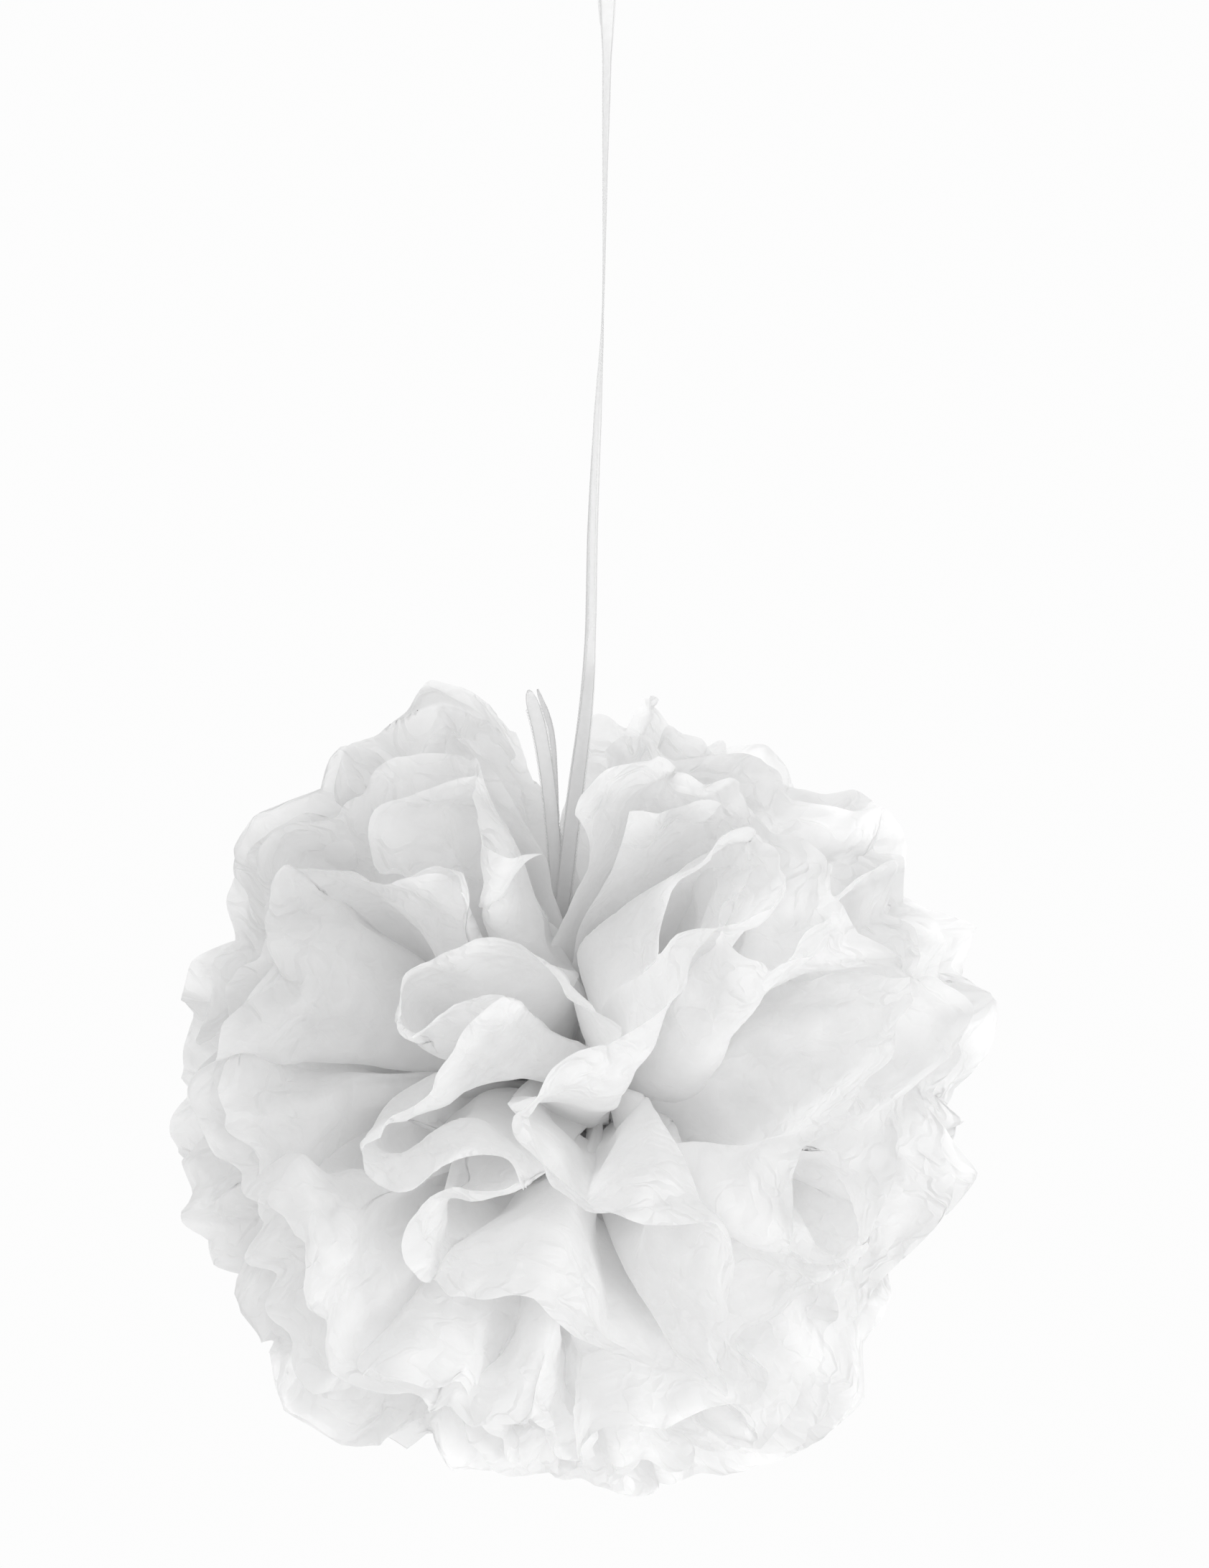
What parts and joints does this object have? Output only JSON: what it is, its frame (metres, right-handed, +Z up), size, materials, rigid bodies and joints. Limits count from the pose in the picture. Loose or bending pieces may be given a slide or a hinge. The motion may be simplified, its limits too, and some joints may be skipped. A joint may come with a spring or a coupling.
{
  "type": "tissue paper pom pom",
  "caption": "White tissue paper pom pom: folded sheets tied at the waist and fluffed into a ball, hung on a looped satin ribbon.",
  "frame": {"origin": "where the top of the ribbon's hanging loop bears on its hook", "axes": "+Z up along the ribbon, -Y towards the front of the ball, +X to the right as seen from the front"},
  "size_m": [0.2979, 0.2862, 0.5444],
  "materials": {
    "tissue": "matt, thin, faintly crinkled and translucent",
    "wire": "plain drawn",
    "ribbon": "single-face satin with woven edges"
  },
  "bodies": {
    "root": {"tissue_sheet_01": "tissue", "tissue_sheet_02": "tissue", "tissue_sheet_03": "tissue", "tissue_sheet_04": "tissue", "tissue_sheet_05": "tissue", "tissue_sheet_06": "tissue", "tissue_sheet_07": "tissue", "tissue_sheet_08": "tissue", "tissue_sheet_09": "tissue", "tissue_sheet_10": "tissue", "tie_wire": "wire", "hanging_ribbon": "ribbon"}
  },
  "joints": []
}
